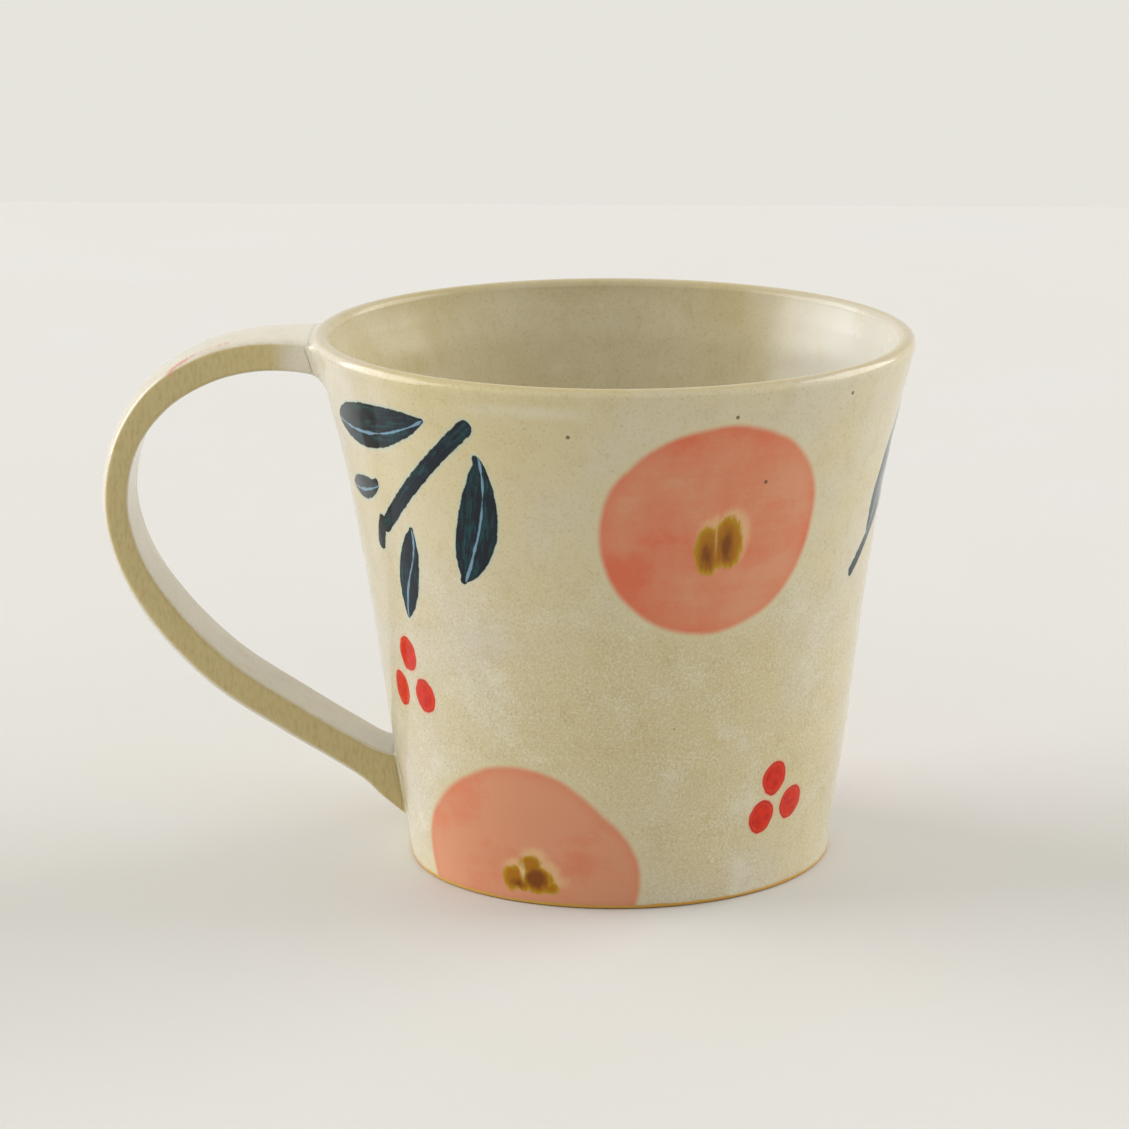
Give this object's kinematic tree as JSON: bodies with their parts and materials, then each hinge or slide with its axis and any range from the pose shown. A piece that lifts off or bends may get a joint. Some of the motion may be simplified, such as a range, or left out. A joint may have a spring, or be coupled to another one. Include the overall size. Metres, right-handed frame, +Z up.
{
  "type": "stoneware mug",
  "caption": "Flared stoneware mug with a tall looped strap handle flush with the rim, glazed and hand painted with flowers, leaves and berries.",
  "frame": {"origin": "on the table under the mug, at the middle of its overall footprint, handle included; the cup's own axis is 16.9 mm along +X from it", "axes": "+Z up along the cup's axis, -X towards the handle, so the handle's plane is XZ"},
  "size_m": [0.1288, 0.095, 0.0842],
  "materials": {
    "cup_glaze": "glossy cream to khaki stoneware glaze over painted decoration, bare clay under the foot",
    "handle_glaze": "glossy cream glaze, breaking khaki along the strap's edges",
    "joint_glaze": "glossy, slightly pooled cream glaze"
  },
  "bodies": {
    "root": {"cup_body": "cup_glaze", "handle_strap": "handle_glaze", "upper_slip_joint": "joint_glaze", "lower_slip_joint": "joint_glaze"}
  },
  "joints": []
}
